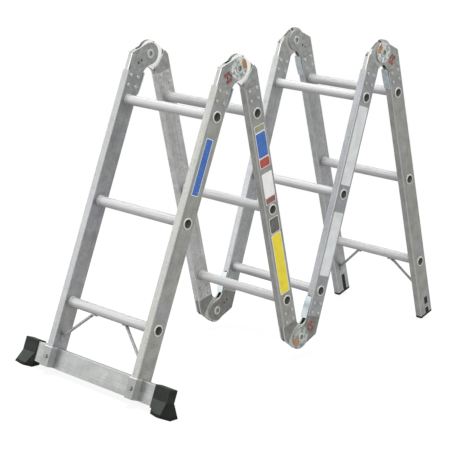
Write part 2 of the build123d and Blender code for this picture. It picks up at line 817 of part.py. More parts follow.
# Joint places for the record, in metres
print("front lean", round(front_lean, 3), "leans", [round(lean, 3) for lean in leans])
for name, place in zip(hinge_places, pivots):
    print(name, "pivot", [round((place[k] + shift[k]) / 1000, 6) for k in (0, 1)])
for name, hinge in hinge_places.items():
    section, place = hinge["cheek"]
    frame = sections[section] * place
    at = (frame * Pos(0, *lever_pin)).position
    out = polar(1.0, lock_direction)
    end = (frame * Pos(0, *out)).position - frame.position
    print(name, "lever pin", round(at.Y / 1000, 6), round(at.Z / 1000, 6))
    print(name, "lock way", round(end.Y, 6), round(end.Z, 6))
print("nodes", len(parts))
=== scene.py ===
# %% [markdown]
# A folding ladder that adjusts
#
# The real ladder is four short aluminium ladders of three rungs, chained end to end by steel
# hinges that lock at set angles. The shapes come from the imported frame, so this lesson is about
# dressing them: light, metal, rubber, stickers and the coloured marks on the locks.

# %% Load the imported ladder
import json
import math

import bpy
from mathutils import Matrix, Vector


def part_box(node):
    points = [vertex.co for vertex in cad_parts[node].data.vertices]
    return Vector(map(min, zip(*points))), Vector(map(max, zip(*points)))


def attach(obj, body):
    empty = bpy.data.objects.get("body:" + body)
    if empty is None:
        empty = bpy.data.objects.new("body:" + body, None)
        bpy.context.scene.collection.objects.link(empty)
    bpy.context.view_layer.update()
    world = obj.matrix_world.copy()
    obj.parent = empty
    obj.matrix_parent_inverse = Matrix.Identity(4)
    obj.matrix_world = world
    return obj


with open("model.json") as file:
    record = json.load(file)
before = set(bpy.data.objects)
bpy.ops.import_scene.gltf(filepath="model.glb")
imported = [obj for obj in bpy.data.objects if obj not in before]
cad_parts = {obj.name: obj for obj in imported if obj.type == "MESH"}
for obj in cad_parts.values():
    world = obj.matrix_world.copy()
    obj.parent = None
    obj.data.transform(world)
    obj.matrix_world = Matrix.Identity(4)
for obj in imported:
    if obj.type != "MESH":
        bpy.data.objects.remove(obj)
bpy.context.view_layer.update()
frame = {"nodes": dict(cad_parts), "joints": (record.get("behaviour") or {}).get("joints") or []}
MM = 0.001

# %% [markdown]
# Every section leans its own way, and what is drawn along a stile has to lean with it. The fold
# joints tell where the pivots are, and two pivots on one section give its lean. The outer two
# sections have one pivot each, so they take the lean of their neighbour and the opening between.

# %% Find where each section stands
PIVOT_OFFSET = 35.5 * MM
PIVOT_RISE = 417.5 * MM
STILE_X = 164.0 * MM
STILE_HALF_WIDTH = 11.0 * MM
STILE_HALF_DEPTH = 27.5 * MM
RUNG_PITCH = 280.0 * MM

folds = {j["name"].removesuffix("_fold"): j for j in frame["joints"] if j["name"].endswith("_fold")}
pivots = {name: Vector(joint["pos_m"]) for name, joint in folds.items()}
openings = {name: math.radians(-joint["range_deg"][0]) for name, joint in folds.items()}


def lean_between(low, high, across):
    """Lean of the section whose lower and upper pivots are given, from the upright."""
    rise = high - low
    return math.atan2(PIVOT_RISE, across) - math.atan2(rise.z, rise.y)


leans = {
    "second": lean_between(pivots["bottom"], pivots["front_top"], -PIVOT_OFFSET),
    "third": lean_between(pivots["bottom"], pivots["rear_top"], PIVOT_OFFSET),
}
leans["front"] = leans["second"] + openings["front_top"]
leans["rear"] = leans["third"] - openings["rear_top"]
hung_from = {
    "front": ("front_top", PIVOT_OFFSET),
    "second": ("front_top", -PIVOT_OFFSET),
    "third": ("rear_top", PIVOT_OFFSET),
    "rear": ("rear_top", -PIVOT_OFFSET),
}
sections = {}
for name, (pivot, across) in hung_from.items():
    turn = Matrix.Rotation(-leans[name], 4, "X")
    sections[name] = Matrix.Translation(pivots[pivot]) @ turn @ Matrix.Translation((0, -across, -PIVOT_RISE))
    print(name, "section leans", round(math.degrees(leans[name]), 2), "degrees")

# %% [markdown]
# The camera is set first, because everything after it is judged through it. It stands where the
# rung pitch, the width and the lean of the stiles all fit the photograph together.

# %% Set the camera
CAMERA_AT = Vector((2.7577, -3.1105, 1.3362))
CAMERA_FORWARD = Vector((-0.6600, 0.7146, -0.2319)).normalized()
CAMERA_UP = Vector((-0.1908, 0.1390, 0.9717))
CAMERA_LENS = 119.0

camera_data = bpy.data.cameras.new("camera")
camera_data.lens = CAMERA_LENS
camera = bpy.data.objects.new("camera", camera_data)
bpy.context.scene.collection.objects.link(camera)
aside = CAMERA_FORWARD.cross(CAMERA_UP).normalized()
above = aside.cross(CAMERA_FORWARD)
turn = Matrix((aside, above, -CAMERA_FORWARD)).transposed().to_4x4()
camera.matrix_world = Matrix.Translation(CAMERA_AT) @ turn
bpy.context.scene.camera = camera
print("camera looks down by", round(math.degrees(-math.asin(CAMERA_FORWARD.z)), 1), "degrees")

# %% [markdown]
# One small function adds every node in this file, for shaders and for geometry alike. An input
# may be a number, a colour, a socket or another node, whose first live output is then linked, and
# a list links several. Colours are written as sRGB hex values, as a colour picker gives them, and
# are turned to the linear values that light needs.

# %% Helpers for nodes and colours
def linear(code):
    """Linear red, green, blue and alpha of an sRGB hex colour."""
    parts = [int(code[k:k + 2], 16) / 255 for k in (1, 3, 5)]
    return (*(c / 12.92 if c <= 0.04045 else ((c + 0.055) / 1.055) ** 2.4 for c in parts), 1.0)


def add(tree, kind, inputs=None, **settings):
    """A new node with its settings, and its inputs set or linked."""
    node = tree.nodes.new(kind)
    for name, value in settings.items():
        setattr(node, name, value)
    for socket, value in (inputs or {}).items():
        for source in value if isinstance(value, list) else [value]:
            if isinstance(source, bpy.types.Node):
                source = next(out for out in source.outputs if out.enabled)
            if isinstance(source, bpy.types.NodeSocket):
                tree.links.new(source, node.inputs[socket])
            else:
                node.inputs[socket].default_value = source
    return node


def empty_tree(owner):
    """The node tree of a material or a world, emptied."""
    owner.use_nodes = True
    owner.node_tree.nodes.clear()
    return owner.node_tree


def per_metre(size_mm):
    """Texture scale at which a pattern's grain has that size."""
    return 1.0 / (size_mm * MM)


print("a mid grey is", round(linear("#808080")[0], 3), "in linear light")

# %% [markdown]
# The photograph has a white ground and a broad even light. A white sky gives most of it, so that
# a colour renders about as it is written. Three soft lamps shape it: one overhead whitens the
# tops of the rungs, one low in front is what the front faces mirror, and one on the right keeps
# the labels bright.

# %% Light the studio
LIGHT_AIM = Vector((0.0, 0.0, 0.45))


def area_lamp(name, place, size, watts):
    """A square soft lamp aimed at the middle of the ladder."""
    data = bpy.data.lights.new(name, "AREA")
    data.size = size
    data.energy = watts
    lamp = bpy.data.objects.new(name, data)
    lamp.location = place
    lamp.rotation_mode = "QUATERNION"
    lamp.rotation_quaternion = (LIGHT_AIM - Vector(place)).to_track_quat("-Z", "Y")
    bpy.context.scene.collection.objects.link(lamp)


area_lamp("overhead", (-0.3, 0.2, 4.3), 2.6, 225.0)
area_lamp("front", (-2.7, -3.2, 1.5), 2.6, 62.0)
area_lamp("right", (4.0, -2.2, 2.2), 2.4, 62.0)
world = bpy.data.worlds.new("studio")
bpy.context.scene.world = world
tree = empty_tree(world)
sky = add(tree, "ShaderNodeBackground", {"Color": linear("#ffffff"), "Strength": 1.0})
add(tree, "ShaderNodeOutputWorld", {"Surface": sky})
bpy.context.scene.view_settings.view_transform = "Standard"

# %% [markdown]
# The ground is white to the camera and in reflections, and a mid grey to the light that bounces
# off it, so that undersides stay dark. Near the ladder a little of the grey stays in what the
# camera sees, and that part takes the ladder's shadow.

# %% Lay the floor
FLOOR_HALF = 30.0
FLOOR_DROP = 0.3 * MM
FLOOR_WHITE = 0.88
SHADOW_REACH = 0.9
SHADOW_END = 1.8

floor_mesh = bpy.data.meshes.new("floor")
corners = ((-1, -1), (1, -1), (1, 1), (-1, 1))
spots = [(x * FLOOR_HALF, y * FLOOR_HALF, -FLOOR_DROP) for x, y in corners]
floor_mesh.from_pydata(spots, [], [(0, 1, 2, 3)])
floor = bpy.data.objects.new("floor", floor_mesh)
bpy.context.scene.collection.objects.link(floor)

floor_paint = bpy.data.materials.new("pale_floor")
tree = empty_tree(floor_paint)
ray = add(tree, "ShaderNodeLightPath").outputs
seen = ray["Is Camera Ray"]
for mirrored in ("Is Glossy Ray", "Is Transmission Ray"):
    seen = add(tree, "ShaderNodeMath", {0: seen, 1: ray[mirrored]}, operation="MAXIMUM")
place = add(tree, "ShaderNodeTexCoord").outputs["Object"]
away = add(tree, "ShaderNodeVectorMath", {0: place}, operation="LENGTH")
fade = add(tree, "ShaderNodeMapRange", {0: away, 1: SHADOW_REACH, 2: SHADOW_END, 3: FLOOR_WHITE, 4: 1.0})
share = add(tree, "ShaderNodeMath", {0: seen, 1: fade}, operation="MULTIPLY")
shade = add(tree, "ShaderNodeMix", {0: seen, 6: linear("#707070"), 7: linear("#d8d8d8")}, data_type="RGBA")
matt = add(tree, "ShaderNodeBsdfDiffuse", {"Color": shade})
glow = add(tree, "ShaderNodeEmission", {"Color": linear("#ffffff"), "Strength": 1.0})
ground = add(tree, "ShaderNodeMixShader", {0: share, 1: matt, 2: glow})
add(tree, "ShaderNodeOutputMaterial", {"Surface": ground})
floor_mesh.materials.append(floor_paint)
print("floor of", 2 * FLOOR_HALF, "metres")

# %% [markdown]
# Every finish on the ladder is built the same way. Noise of a few sizes gives masks, each mask
# lays a thin wash of another tone over the base, and the last step joins the tone, a roughness
# that follows one of the masks, and a fine bump to a shader. Patterns are read in a section's own
# frame where they have to run along its stiles or sit at a place on it.

# %% Steps that every finish shares
# noise seldom leaves this range, so a wash from its low end to its high end has all its contrast
NOISE_LOW = 0.3
NOISE_HIGH = 0.7


def own_frame(tree, place):
    """Object coordinates seen in a frame of their own, from the matrix that maps the world to it."""
    return add(tree, "ShaderNodeMapping", {
        "Vector": add(tree, "ShaderNodeTexCoord").outputs["Object"],
        "Location": place.to_translation(),
        "Rotation": place.to_euler(),
    })


def wash(tree, tone, mask, low, high, colour, most=1.0):
    """A tone with a colour laid over it where a mask goes from low to high, up to a share."""
    share = add(tree, "ShaderNodeMapRange", {0: mask, 1: low, 2: high, 3: 0.0, 4: most})
    return add(tree, "ShaderNodeMix", {0: share, 6: tone, 7: linear(colour)}, data_type="RGBA")


def between(tree, value, low, high):
    """One where a value lies between two others."""
    above = add(tree, "ShaderNodeMath", {0: value, 1: low}, operation="GREATER_THAN")
    below = add(tree, "ShaderNodeMath", {0: value, 1: high}, operation="LESS_THAN")
    return add(tree, "ShaderNodeMath", {0: above, 1: below}, operation="MULTIPLY")


def finish_with(tree, tone, wear, rough, grain, bump_mm, metallic, gloss=0.5):
    """Close a material: its tone, a roughness that follows its wear, and a bump from its grain."""
    roughness = add(tree, "ShaderNodeMapRange", {
        0: wear, 1: NOISE_LOW, 2: NOISE_HIGH, 3: rough[0], 4: rough[1],
    })
    bump = add(tree, "ShaderNodeBump", {"Height": grain, "Strength": 0.3, "Distance": bump_mm * MM})
    shader = add(tree, "ShaderNodeBsdfPrincipled", {
        "Base Color": tone, "Roughness": roughness, "Normal": bump,
        "Metallic": metallic, "Specular IOR Level": gloss,
    })
    add(tree, "ShaderNodeOutputMaterial", {"Surface": shader})


def paint(material, *nodes):
    """Give CAD nodes a material."""
    for node in nodes:
        for slot in frame["nodes"][node].material_slots:
            slot.material = material


print("finishes for", len(frame["nodes"]), "nodes")

# %% [markdown]
# Stiles and the stabiliser bar are mill-finish aluminium, pressed through a die. The metal is
# dull and cloudy: handling leaves patches a hand wide, some faintly olive and some faintly
# purple, and a fine mottle over them. The die leaves faint lines along the length, and the
# corners carry a painted highlight. The lines are noise stretched along the stile, and each
# section's stiles get their own turn of it, so that the lines run true on every lean. The left
# and the right stile of a section get different tones of the one metal, as painted light and shade.

# %% Mill-finish aluminium
MILL_OLIVE = "#8d8f83"
MILL_PURPLE = "#9792a0"
MILL_DARK = "#6e6f6e"
MILL_LINE = "#777876"
MILL_CORNER_HIGHLIGHT = "#c6c7c7"
# how far in from a corner's point the painted corner highlight begins and is full
CORNER_HIGHLIGHT_START = 3.5 * MM
CORNER_HIGHLIGHT_FULL = 1.0 * MM
# real die lines are under 1 mm wide: these are drawn 3 mm wide, and long, so that they show
LINE_WIDTH = 3.0
LINE_SHRINK = 0.01


def extruded_aluminium(name, place, dark, light, along, middle=0.0):
    """Extruded box section: place maps the world to its own frame, along is its long axis."""
    material = bpy.data.materials.new(name)
    tree = empty_tree(material)
    own = own_frame(tree, place)
    stretch = [1.0, 1.0, 1.0]
    across = [1.0, 1.0, 1.0]
    stretch[along] = LINE_SHRINK
    across[along] = 0.0
    drawn = add(tree, "ShaderNodeMapping", {"Vector": own, "Scale": tuple(stretch)})
    lines = add(tree, "ShaderNodeTexNoise", {"Vector": drawn, "Scale": per_metre(LINE_WIDTH), "Detail": 2.0})
    patches = add(tree, "ShaderNodeTexNoise", {"Vector": own, "Scale": per_metre(90.0), "Detail": 2.0})
    clouds = add(tree, "ShaderNodeTexNoise", {"Vector": own, "Scale": per_metre(30.0), "Detail": 5.0})
    mottle = add(tree, "ShaderNodeTexNoise", {"Vector": own, "Scale": per_metre(5.0), "Detail": 3.0})
    tone = wash(tree, linear(dark), clouds, NOISE_LOW, NOISE_HIGH, light)
    tone = wash(tree, tone, patches, 0.5, 0.72, MILL_OLIVE, 0.4)
    tone = wash(tree, tone, patches, 0.48, 0.28, MILL_PURPLE, 0.5)
    tone = wash(tree, tone, mottle, 0.52, 0.72, MILL_DARK, 0.55)
    tone = wash(tree, tone, lines, 0.45, 0.7, MILL_LINE, 0.4)
    half = add(tree, "ShaderNodeVectorMath", {0: own}, operation="ABSOLUTE")
    half = add(tree, "ShaderNodeVectorMath", {0: half, 1: (middle, 0.0, 0.0)}, operation="SUBTRACT")
    half = add(tree, "ShaderNodeVectorMath", {0: half}, operation="ABSOLUTE")
    reach = add(tree, "ShaderNodeVectorMath", {0: half, 1: tuple(across)}, operation="DOT_PRODUCT")
    corner = STILE_HALF_WIDTH + STILE_HALF_DEPTH
    # painted highlight along the corners of the section
    tone = wash(tree, tone, reach, corner - CORNER_HIGHLIGHT_START, corner - CORNER_HIGHLIGHT_FULL, MILL_CORNER_HIGHLIGHT, 0.5)
    finish_with(tree, tone, clouds, (0.36, 0.5), lines, 0.1, 0.6)
    return material


# tones of the left and the right stile of each section: one metal, painted lighter or darker per side as
# painted light and shade
STILE_TONES = {
    "front": (("#7f8082", "#9e9fa1"), ("#858681", "#a1a29c")),
    "second": (("#aaabaa", "#c6c7c6"), ("#80817c", "#9c9d97")),
    "third": (("#8d8f91", "#acaeb0"), ("#838588", "#9d9fa3")),
    "rear": (("#8d8f90", "#abadae"), ("#82837e", "#9e9f99")),
}
for name, pair in STILE_TONES.items():
    for hand, (dark, light) in zip(("left", "right"), pair):
        node = f"{name}_stile_{hand}"
        place = sections[name].inverted()
        paint(extruded_aluminium(f"{node}_aluminium", place, dark, light, 2, STILE_X), node)
bar_low, bar_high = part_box("stabiliser_bar")
bar_frame = Matrix.Rotation(-leans["front"], 4, "X")
bar_frame.translation = (bar_low + bar_high) / 2
paint(extruded_aluminium("bar_aluminium", bar_frame.inverted(), "#737574", "#a0a2a0", 0), "stabiliser_bar")
print("extruded aluminium on", 2 * len(STILE_TONES) + 1, "lengths")

# %% [markdown]
# The saddles that clasp the front stiles are bent from plate. Their fronts are as dull as the bar
# beneath them, their sides are painted paler as painted light, and their upper edge carries a
# painted highlight. Sides and edge are found by where they lie in the section's own frame.

# %% Saddle plate
SADDLE_TOP = -409.0 * MM


def plate_with_painted_light(name, place, dark, light, cut):
    """Dull plate with painted light on its paler sides and a painted highlight at an edge height of its own
    frame.
    """
    material = bpy.data.materials.new(name)
    tree = empty_tree(material)
    own = own_frame(tree, place)
    clouds = add(tree, "ShaderNodeTexNoise", {"Vector": own, "Scale": per_metre(22.0), "Detail": 5.0})
    grain = add(tree, "ShaderNodeTexNoise", {"Vector": own, "Scale": per_metre(2.0), "Detail": 2.0})
    axes = add(tree, "ShaderNodeSeparateXYZ", {0: own}).outputs
    front = -STILE_HALF_DEPTH
    tone = wash(tree, linear(dark), clouds, NOISE_LOW, NOISE_HIGH, light)
    # painted light: the sides, behind the front face, are made paler
    tone = wash(tree, tone, axes[1], front - 1.5 * MM, front, "#b4b5b0", 0.8)
    tone = wash(tree, tone, grain, 0.55, 0.8, MILL_DARK, 0.4)
    # painted highlight along the upper edge
    tone = wash(tree, tone, axes[2], cut - 2.5 * MM, cut - 0.5 * MM, "#d9dad9")
    finish_with(tree, tone, clouds, (0.38, 0.52), grain, 0.06, 0.5)
    return material


paint(
    plate_with_painted_light("saddle_plate", sections["front"].inverted(), "#737575", "#8a8c8c", SADDLE_TOP),
    "stabiliser_saddles",
)
print("plate on the saddles")

# %% [markdown]
# The rungs are bright ribbed tube, whiter than the stiles because boots keep them polished.
# Fine lines run along X, the way the tube was drawn, the ends past the stiles carry a painted
# highlight, and the inside of the tube is painted darker as shade. The braces under the lowest
# rungs are round bar of the same metal, left as it came.

# %% Bright rung tube and dull braces
RUNG_BORE = 11.8 * MM
OUTER_FACE = STILE_X + STILE_HALF_WIDTH


def drawn_metal(name, place, dark, light, rough, metallic):
    """Metal drawn along X, with faint lines, a painted highlight past the stiles and painted shade inside a
    rung's bore.
    """
    material = bpy.data.materials.new(name)
    tree = empty_tree(material)
    own = own_frame(tree, place)
    drawn = add(tree, "ShaderNodeMapping", {"Vector": own, "Scale": (LINE_SHRINK, 1.0, 1.0)})
    lines = add(tree, "ShaderNodeTexNoise", {"Vector": drawn, "Scale": per_metre(LINE_WIDTH), "Detail": 2.0})
    worn = add(tree, "ShaderNodeTexNoise", {"Vector": own, "Scale": per_metre(35.0), "Detail": 3.0})
    tone = wash(tree, linear(dark), lines, NOISE_LOW, NOISE_HIGH, light)
    axes = add(tree, "ShaderNodeSeparateXYZ", {0: own}).outputs
    height = add(tree, "ShaderNodeMath", {
        0: axes[2], 1: RUNG_PITCH / 2, 2: -RUNG_PITCH / 2,
    }, operation="WRAP")
    spoke = add(tree, "ShaderNodeCombineXYZ", {0: axes[1], 1: height})
    radius = add(tree, "ShaderNodeVectorMath", {0: spoke}, operation="LENGTH")
    reach = add(tree, "ShaderNodeMath", {0: axes[0]}, operation="ABSOLUTE")
    # painted highlight on the rung ends past the stiles
    tone = wash(tree, tone, reach, OUTER_FACE - 0.2 * MM, OUTER_FACE, "#c4c4c0")
    # painted shade inside the rung's bore
    tone = wash(tree, tone, radius, RUNG_BORE + 0.05 * MM, RUNG_BORE, "#70716a")
    finish_with(tree, tone, worn, rough, lines, 0.05, metallic)
    return material


for name, matrix in sections.items():
    tube = drawn_metal(f"rung_metal_{name}", matrix.inverted(), "#a4a4a5", "#b0b0b1", (0.42, 0.54), 0.05)
    paint(tube, *(f"{name}_rung_{level}" for level in ("lower", "middle", "upper")))
for name in ("front", "rear"):
    place = sections[name].inverted()
    rod = drawn_metal(f"brace_metal_{name}", place, "#868786", "#9c9d9c", (0.4, 0.5), 0.3)
    paint(rod, f"{name}_braces")
print("bright tube on the rungs of", len(sections), "sections")

# %% [markdown]
# Each hinge is three zinc-plated pressings side by side: two cheeks outside and an index disc
# between. The plating is cloudy, its cut edges carry a painted highlight, and the disc's flat
# faces carry a brighter painted highlight, while its rim is darker. One material does it all,
# from how far a point is from the pivot and from the middle of the hinge.

# %% Zinc-plated hinges and their pivots
CHEEK_FACE = 9.3 * MM
INDEX_FACE = 5.0 * MM
INDEX_REACH = 47.0 * MM
SKIN = 0.12 * MM
PIVOT_BORE = 6.75 * MM


def about_pivot(tree, pivot):
    """A point's place, its distance from a pivot line and from the middle of its hinge."""
    place = add(tree, "ShaderNodeTexCoord").outputs["Object"]
    out = add(tree, "ShaderNodeVectorMath", {0: place, 1: pivot}, operation="SUBTRACT")
    flat = add(tree, "ShaderNodeVectorMath", {0: out, 1: (0.0, 1.0, 1.0)}, operation="MULTIPLY")
    radius = add(tree, "ShaderNodeVectorMath", {0: flat}, operation="LENGTH")
    half = add(tree, "ShaderNodeVectorMath", {0: place}, operation="ABSOLUTE")
    half = add(tree, "ShaderNodeVectorMath", {0: half, 1: (STILE_X, 0.0, 0.0)}, operation="SUBTRACT")
    half = add(tree, "ShaderNodeVectorMath", {0: half}, operation="ABSOLUTE")
    return place, radius, add(tree, "ShaderNodeSeparateXYZ", {0: half}).outputs[0]


def hinge_zinc(name, pivot, dark, light, highlight_tone):
    """Cloudy plating with painted highlights on the cut edges and the index disc's faces, and a darker rim
    on the disc.
    """
    material = bpy.data.materials.new(name)
    tree = empty_tree(material)
    place, radius, depth = about_pivot(tree, pivot)
    clouds = add(tree, "ShaderNodeTexNoise", {"Vector": place, "Scale": per_metre(14.0), "Detail": 5.0})
    grain = add(tree, "ShaderNodeTexNoise", {"Vector": place, "Scale": per_metre(1.6), "Detail": 2.0})
    tone = wash(tree, linear(dark), clouds, NOISE_LOW, NOISE_HIGH, light)
    tone = wash(tree, tone, grain, 0.55, 0.75, "#5c5d5a", 0.4)
    # painted highlight on the cut edges of the plates
    cut = between(tree, depth, INDEX_FACE + 3 * SKIN, CHEEK_FACE - SKIN)
    tone = wash(tree, tone, cut, 0.0, 1.0, "#b6b7b5")
    # painted highlight on the index disc's flat faces, and its rim darker
    near = add(tree, "ShaderNodeMath", {0: radius, 1: INDEX_REACH}, operation="LESS_THAN")
    painted_highlight = (INDEX_FACE - SKIN, INDEX_FACE + SKIN, highlight_tone)
    dark_rim = (-1.0, INDEX_FACE - SKIN, "#53544f")
    for low, high, colour in (painted_highlight, dark_rim):
        level = between(tree, depth, low, high)
        layer = add(tree, "ShaderNodeMath", {0: near, 1: level}, operation="MULTIPLY")
        tone = wash(tree, tone, layer, 0.0, 1.0, colour)
    finish_with(tree, tone, clouds, (0.3, 0.44), grain, 0.1, 0.5)
    return material


def pivot_zinc(name, pivot):
    """Bright plating on a ring-shaped head, greyer in the bore round a pivot line."""
    material = bpy.data.materials.new(name)
    tree = empty_tree(material)
    place, radius, depth = about_pivot(tree, pivot)
    clouds = add(tree, "ShaderNodeTexNoise", {"Vector": place, "Scale": per_metre(6.0), "Detail": 4.0})
    tone = wash(tree, linear("#a2a4a1"), clouds, NOISE_LOW, NOISE_HIGH, "#bec0bd")
    tone = wash(tree, tone, radius, PIVOT_BORE + SKIN, PIVOT_BORE, "#909893")
    finish_with(tree, tone, clouds, (0.26, 0.38), clouds, 0.05, 0.5)
    return material


# dark and light zinc of each hinge, darker on the bottom one, and the tone of the painted highlight on its
# index disc
HINGE_TONES = {
    "front_top": ("#7a7c7a", "#9a9c9a", "#ecedeb"),
    "bottom": ("#61625d", "#83847e", "#acada9"),
    "rear_top": ("#7c7e7b", "#a0a29e", "#a4a5a1"),
}
for name, pivot in pivots.items():
    halves = [f"{name}_hinge_{half}_{hand}" for half in ("cheek", "tongue") for hand in ("left", "right")]
    paint(hinge_zinc(f"{name}_zinc", pivot, *HINGE_TONES[name]), *halves)
    paint(pivot_zinc(f"{name}_pivot_zinc", pivot), f"{name}_hinge_pivots")
print("zinc on", len(pivots) * 4, "hinge halves")

# %% [markdown]
# Rivets, pins and springs are pale zinc, and the two bolts of the stabiliser are darker.
# Levers are thin sheet with a bright grey coat, and the lock bars are bare steel. All are plain
# plated or painted metals: a fine orange-peel bump and a slow change of tone keep them from
# looking flat. The bolts are found by how low they lie on the front section.

# %% Plated and coated small parts
BOLTS_BELOW = -400.0 * MM


def coated_steel(name, place, dark, light, rough, metallic):
    """Thin coat or plating on steel, between two tones, and dark below the bolts' height."""
    material = bpy.data.materials.new(name)
    tree = empty_tree(material)
    own = own_frame(tree, place)
    wear = add(tree, "ShaderNodeTexNoise", {"Vector": own, "Scale": per_metre(12.0), "Detail": 4.0})
    peel = add(tree, "ShaderNodeTexNoise", {"Vector": own, "Scale": per_metre(1.2), "Detail": 1.0})
    height = add(tree, "ShaderNodeSeparateXYZ", {0: own}).outputs[2]
    tone = wash(tree, linear(dark), wear, NOISE_LOW, NOISE_HIGH, light)
    tone = wash(tree, tone, height, BOLTS_BELOW, BOLTS_BELOW - 1.0 * MM, "#6a6b68")
    finish_with(tree, tone, wear, (rough - 0.06, rough + 0.06), peel, 0.05, metallic)
    return material


for name, matrix in sections.items():
    zinc = coated_steel(f"dull_zinc_{name}", matrix.inverted(), "#979997", "#adafad", 0.28, 0.25)
    paint(zinc, f"{name}_fasteners")
still = Matrix.Identity(4)
coats = {
    "_lever_springs": coated_steel("spring_zinc", still, "#8e908e", "#a8aaa8", 0.3, 0.6),
    "_release_lever_": coated_steel("lever_coat", still, "#98a0a4", "#b2babd", 0.34, 0.4),
    "_lock_bar_": coated_steel("bare_steel", still, "#6f716f", "#8c8e8c", 0.36, 0.5),
}
for part, coat in coats.items():
    paint(coat, *(node for node in frame["nodes"] if part in node))
print("coats on fasteners and", sorted(coats))

# %% [markdown]
# Boots and pads are moulded rubber: nearly black and barely glossy, with a fine pebble from the
# mould. Below their waist the boots are painted grey in front as painted light, while the facets
# that slant away beside the toe and the sole under it are painted black as painted shade. A plane
# through the slanting edge of each facet parts it from the toe, and the sole is found by its
# height above the ground.

# %% Moulded rubber
BOOT_WAIST = -442.0 * MM
SOLE_TOP = 8.0 * MM
RUBBER_SHADE = "#121412"
# slope of the facet's edge, and where the plane through it cuts, for the left boot and the right one
FACETS = (("LESS_THAN", 0.671, 66.6 * MM), ("GREATER_THAN", 0.216, 372.5 * MM))


def moulded_rubber(name, place):
    """Dark rubber with mould pebble, painted light on the toes and painted shade on facets and sole, in the
    front section's frame.
    """
    material = bpy.data.materials.new(name)
    tree = empty_tree(material)
    own = own_frame(tree, place)
    pebble = add(tree, "ShaderNodeTexVoronoi", {"Vector": own, "Scale": per_metre(1.8)})
    bloom = add(tree, "ShaderNodeTexNoise", {"Vector": own, "Scale": per_metre(18.0), "Detail": 4.0})
    axes = add(tree, "ShaderNodeSeparateXYZ", {0: own}).outputs
    low = add(tree, "ShaderNodeMath", {0: axes[2], 1: BOOT_WAIST}, operation="LESS_THAN")
    tone = wash(tree, linear("#1d201e"), bloom, NOISE_LOW, NOISE_HIGH, "#2e312e")
    # painted light: lighter grey below the waist
    tone = wash(tree, tone, low, 0.0, 1.0, "#434744", 0.8)
    for side, slope, cut in FACETS:
        beyond = add(tree, "ShaderNodeVectorMath", {0: own, 1: (1.0, 0.0, -slope)}, operation="DOT_PRODUCT")
        facet = add(tree, "ShaderNodeMath", {0: beyond, 1: cut}, operation="GREATER_THAN")
        here = add(tree, "ShaderNodeMath", {0: axes[0], 1: 0.0}, operation=side)
        both = add(tree, "ShaderNodeMath", {0: facet, 1: here}, operation="MULTIPLY")
        both = add(tree, "ShaderNodeMath", {0: both, 1: low}, operation="MULTIPLY")
        # painted shade on the facet beside the toe
        tone = wash(tree, tone, both, 0.0, 1.0, RUBBER_SHADE, 0.9)
    ground = add(tree, "ShaderNodeSeparateXYZ", {0: add(tree, "ShaderNodeTexCoord").outputs["Object"]})
    # painted shade on the sole
    tone = wash(tree, tone, ground.outputs[2], SOLE_TOP, SOLE_TOP - 0.5 * MM, RUBBER_SHADE, 0.9)
    finish_with(tree, tone, bloom, (0.46, 0.6), pebble, 0.12, 0.0, 0.08)
    return material


paint(moulded_rubber("moulded_rubber", sections["front"].inverted()), "stabiliser_feet", "rear_feet")
print("rubber on boots and pads")

# %% [markdown]
# Ladders like this carry film labels on the outer faces of their stiles. Here they are blank
# panels of plain colour with a pale rim. One node tree draws a panel from its sizes: a rounded
# film for the rim, and a smaller one on top of it for the coloured middle. The panels differ
# only in the numbers and materials that they pass to the tree.

# %% A tree that makes labels
SEAM = 0.001 * MM
CORNER_POINTS = 6


def start_tree(name, floats, materials):
    """A geometry tree with named float and material inputs."""
    tree = bpy.data.node_groups.new(name, "GeometryNodeTree")
    for title in floats:
        tree.interface.new_socket(title, in_out="INPUT", socket_type="NodeSocketFloat")
    for title in materials:
        tree.interface.new_socket(title, in_out="INPUT", socket_type="NodeSocketMaterial")
    tree.interface.new_socket("Geometry", in_out="OUTPUT", socket_type="NodeSocketGeometry")
    return tree, add(tree, "NodeGroupInput").outputs


def film_from(tree, sheet, thickness):
    """A sheet made a closed film: raised along its normal, with its underside kept."""
    sealed = add(tree, "GeometryNodeMergeByDistance", {"Geometry": sheet, "Distance": SEAM})
    raised = add(tree, "GeometryNodeExtrudeMesh", {
        "Mesh": sealed, "Offset Scale": thickness, "Individual": False,
    })
    under = add(tree, "GeometryNodeFlipFaces", {"Mesh": sealed})
    shell = add(tree, "GeometryNodeJoinGeometry", {0: [raised, under]})
    return add(tree, "GeometryNodeMergeByDistance", {"Geometry": shell, "Distance": SEAM})


def label_tree():
    """Rounded panel with a rim, lying in the XY plane and facing +Z."""
    tree, given = start_tree(
        "label", ("Width", "Length", "Inner width", "Inner length", "Corner", "Film"), ("Middle", "Rim")
    )
    layers = []
    for wide, long, material in (("Width", "Length", "Rim"), ("Inner width", "Inner length", "Middle")):
        outline = add(tree, "GeometryNodeCurvePrimitiveQuadrilateral", {
            "Width": given[wide], "Height": given[long],
        })
        rounded = add(tree, "GeometryNodeFilletCurve", {
            "Curve": outline, "Radius": given["Corner"], "Count": CORNER_POINTS,
        }, mode="POLY")
        film = film_from(tree, add(tree, "GeometryNodeFillCurve", {"Curve": rounded}), given["Film"])
        if layers:
            lift = add(tree, "ShaderNodeCombineXYZ", {2: given["Film"]})
            film = add(tree, "GeometryNodeTransform", {"Geometry": film, "Translation": lift})
        layers.append(add(tree, "GeometryNodeSetMaterial", {"Geometry": film, "Material": given[material]}))
    joined = add(tree, "GeometryNodeJoinGeometry", {0: layers})
    add(tree, "NodeGroupOutput", {0: add(tree, "GeometryNodeRealizeInstances", {0: joined})})
    return tree


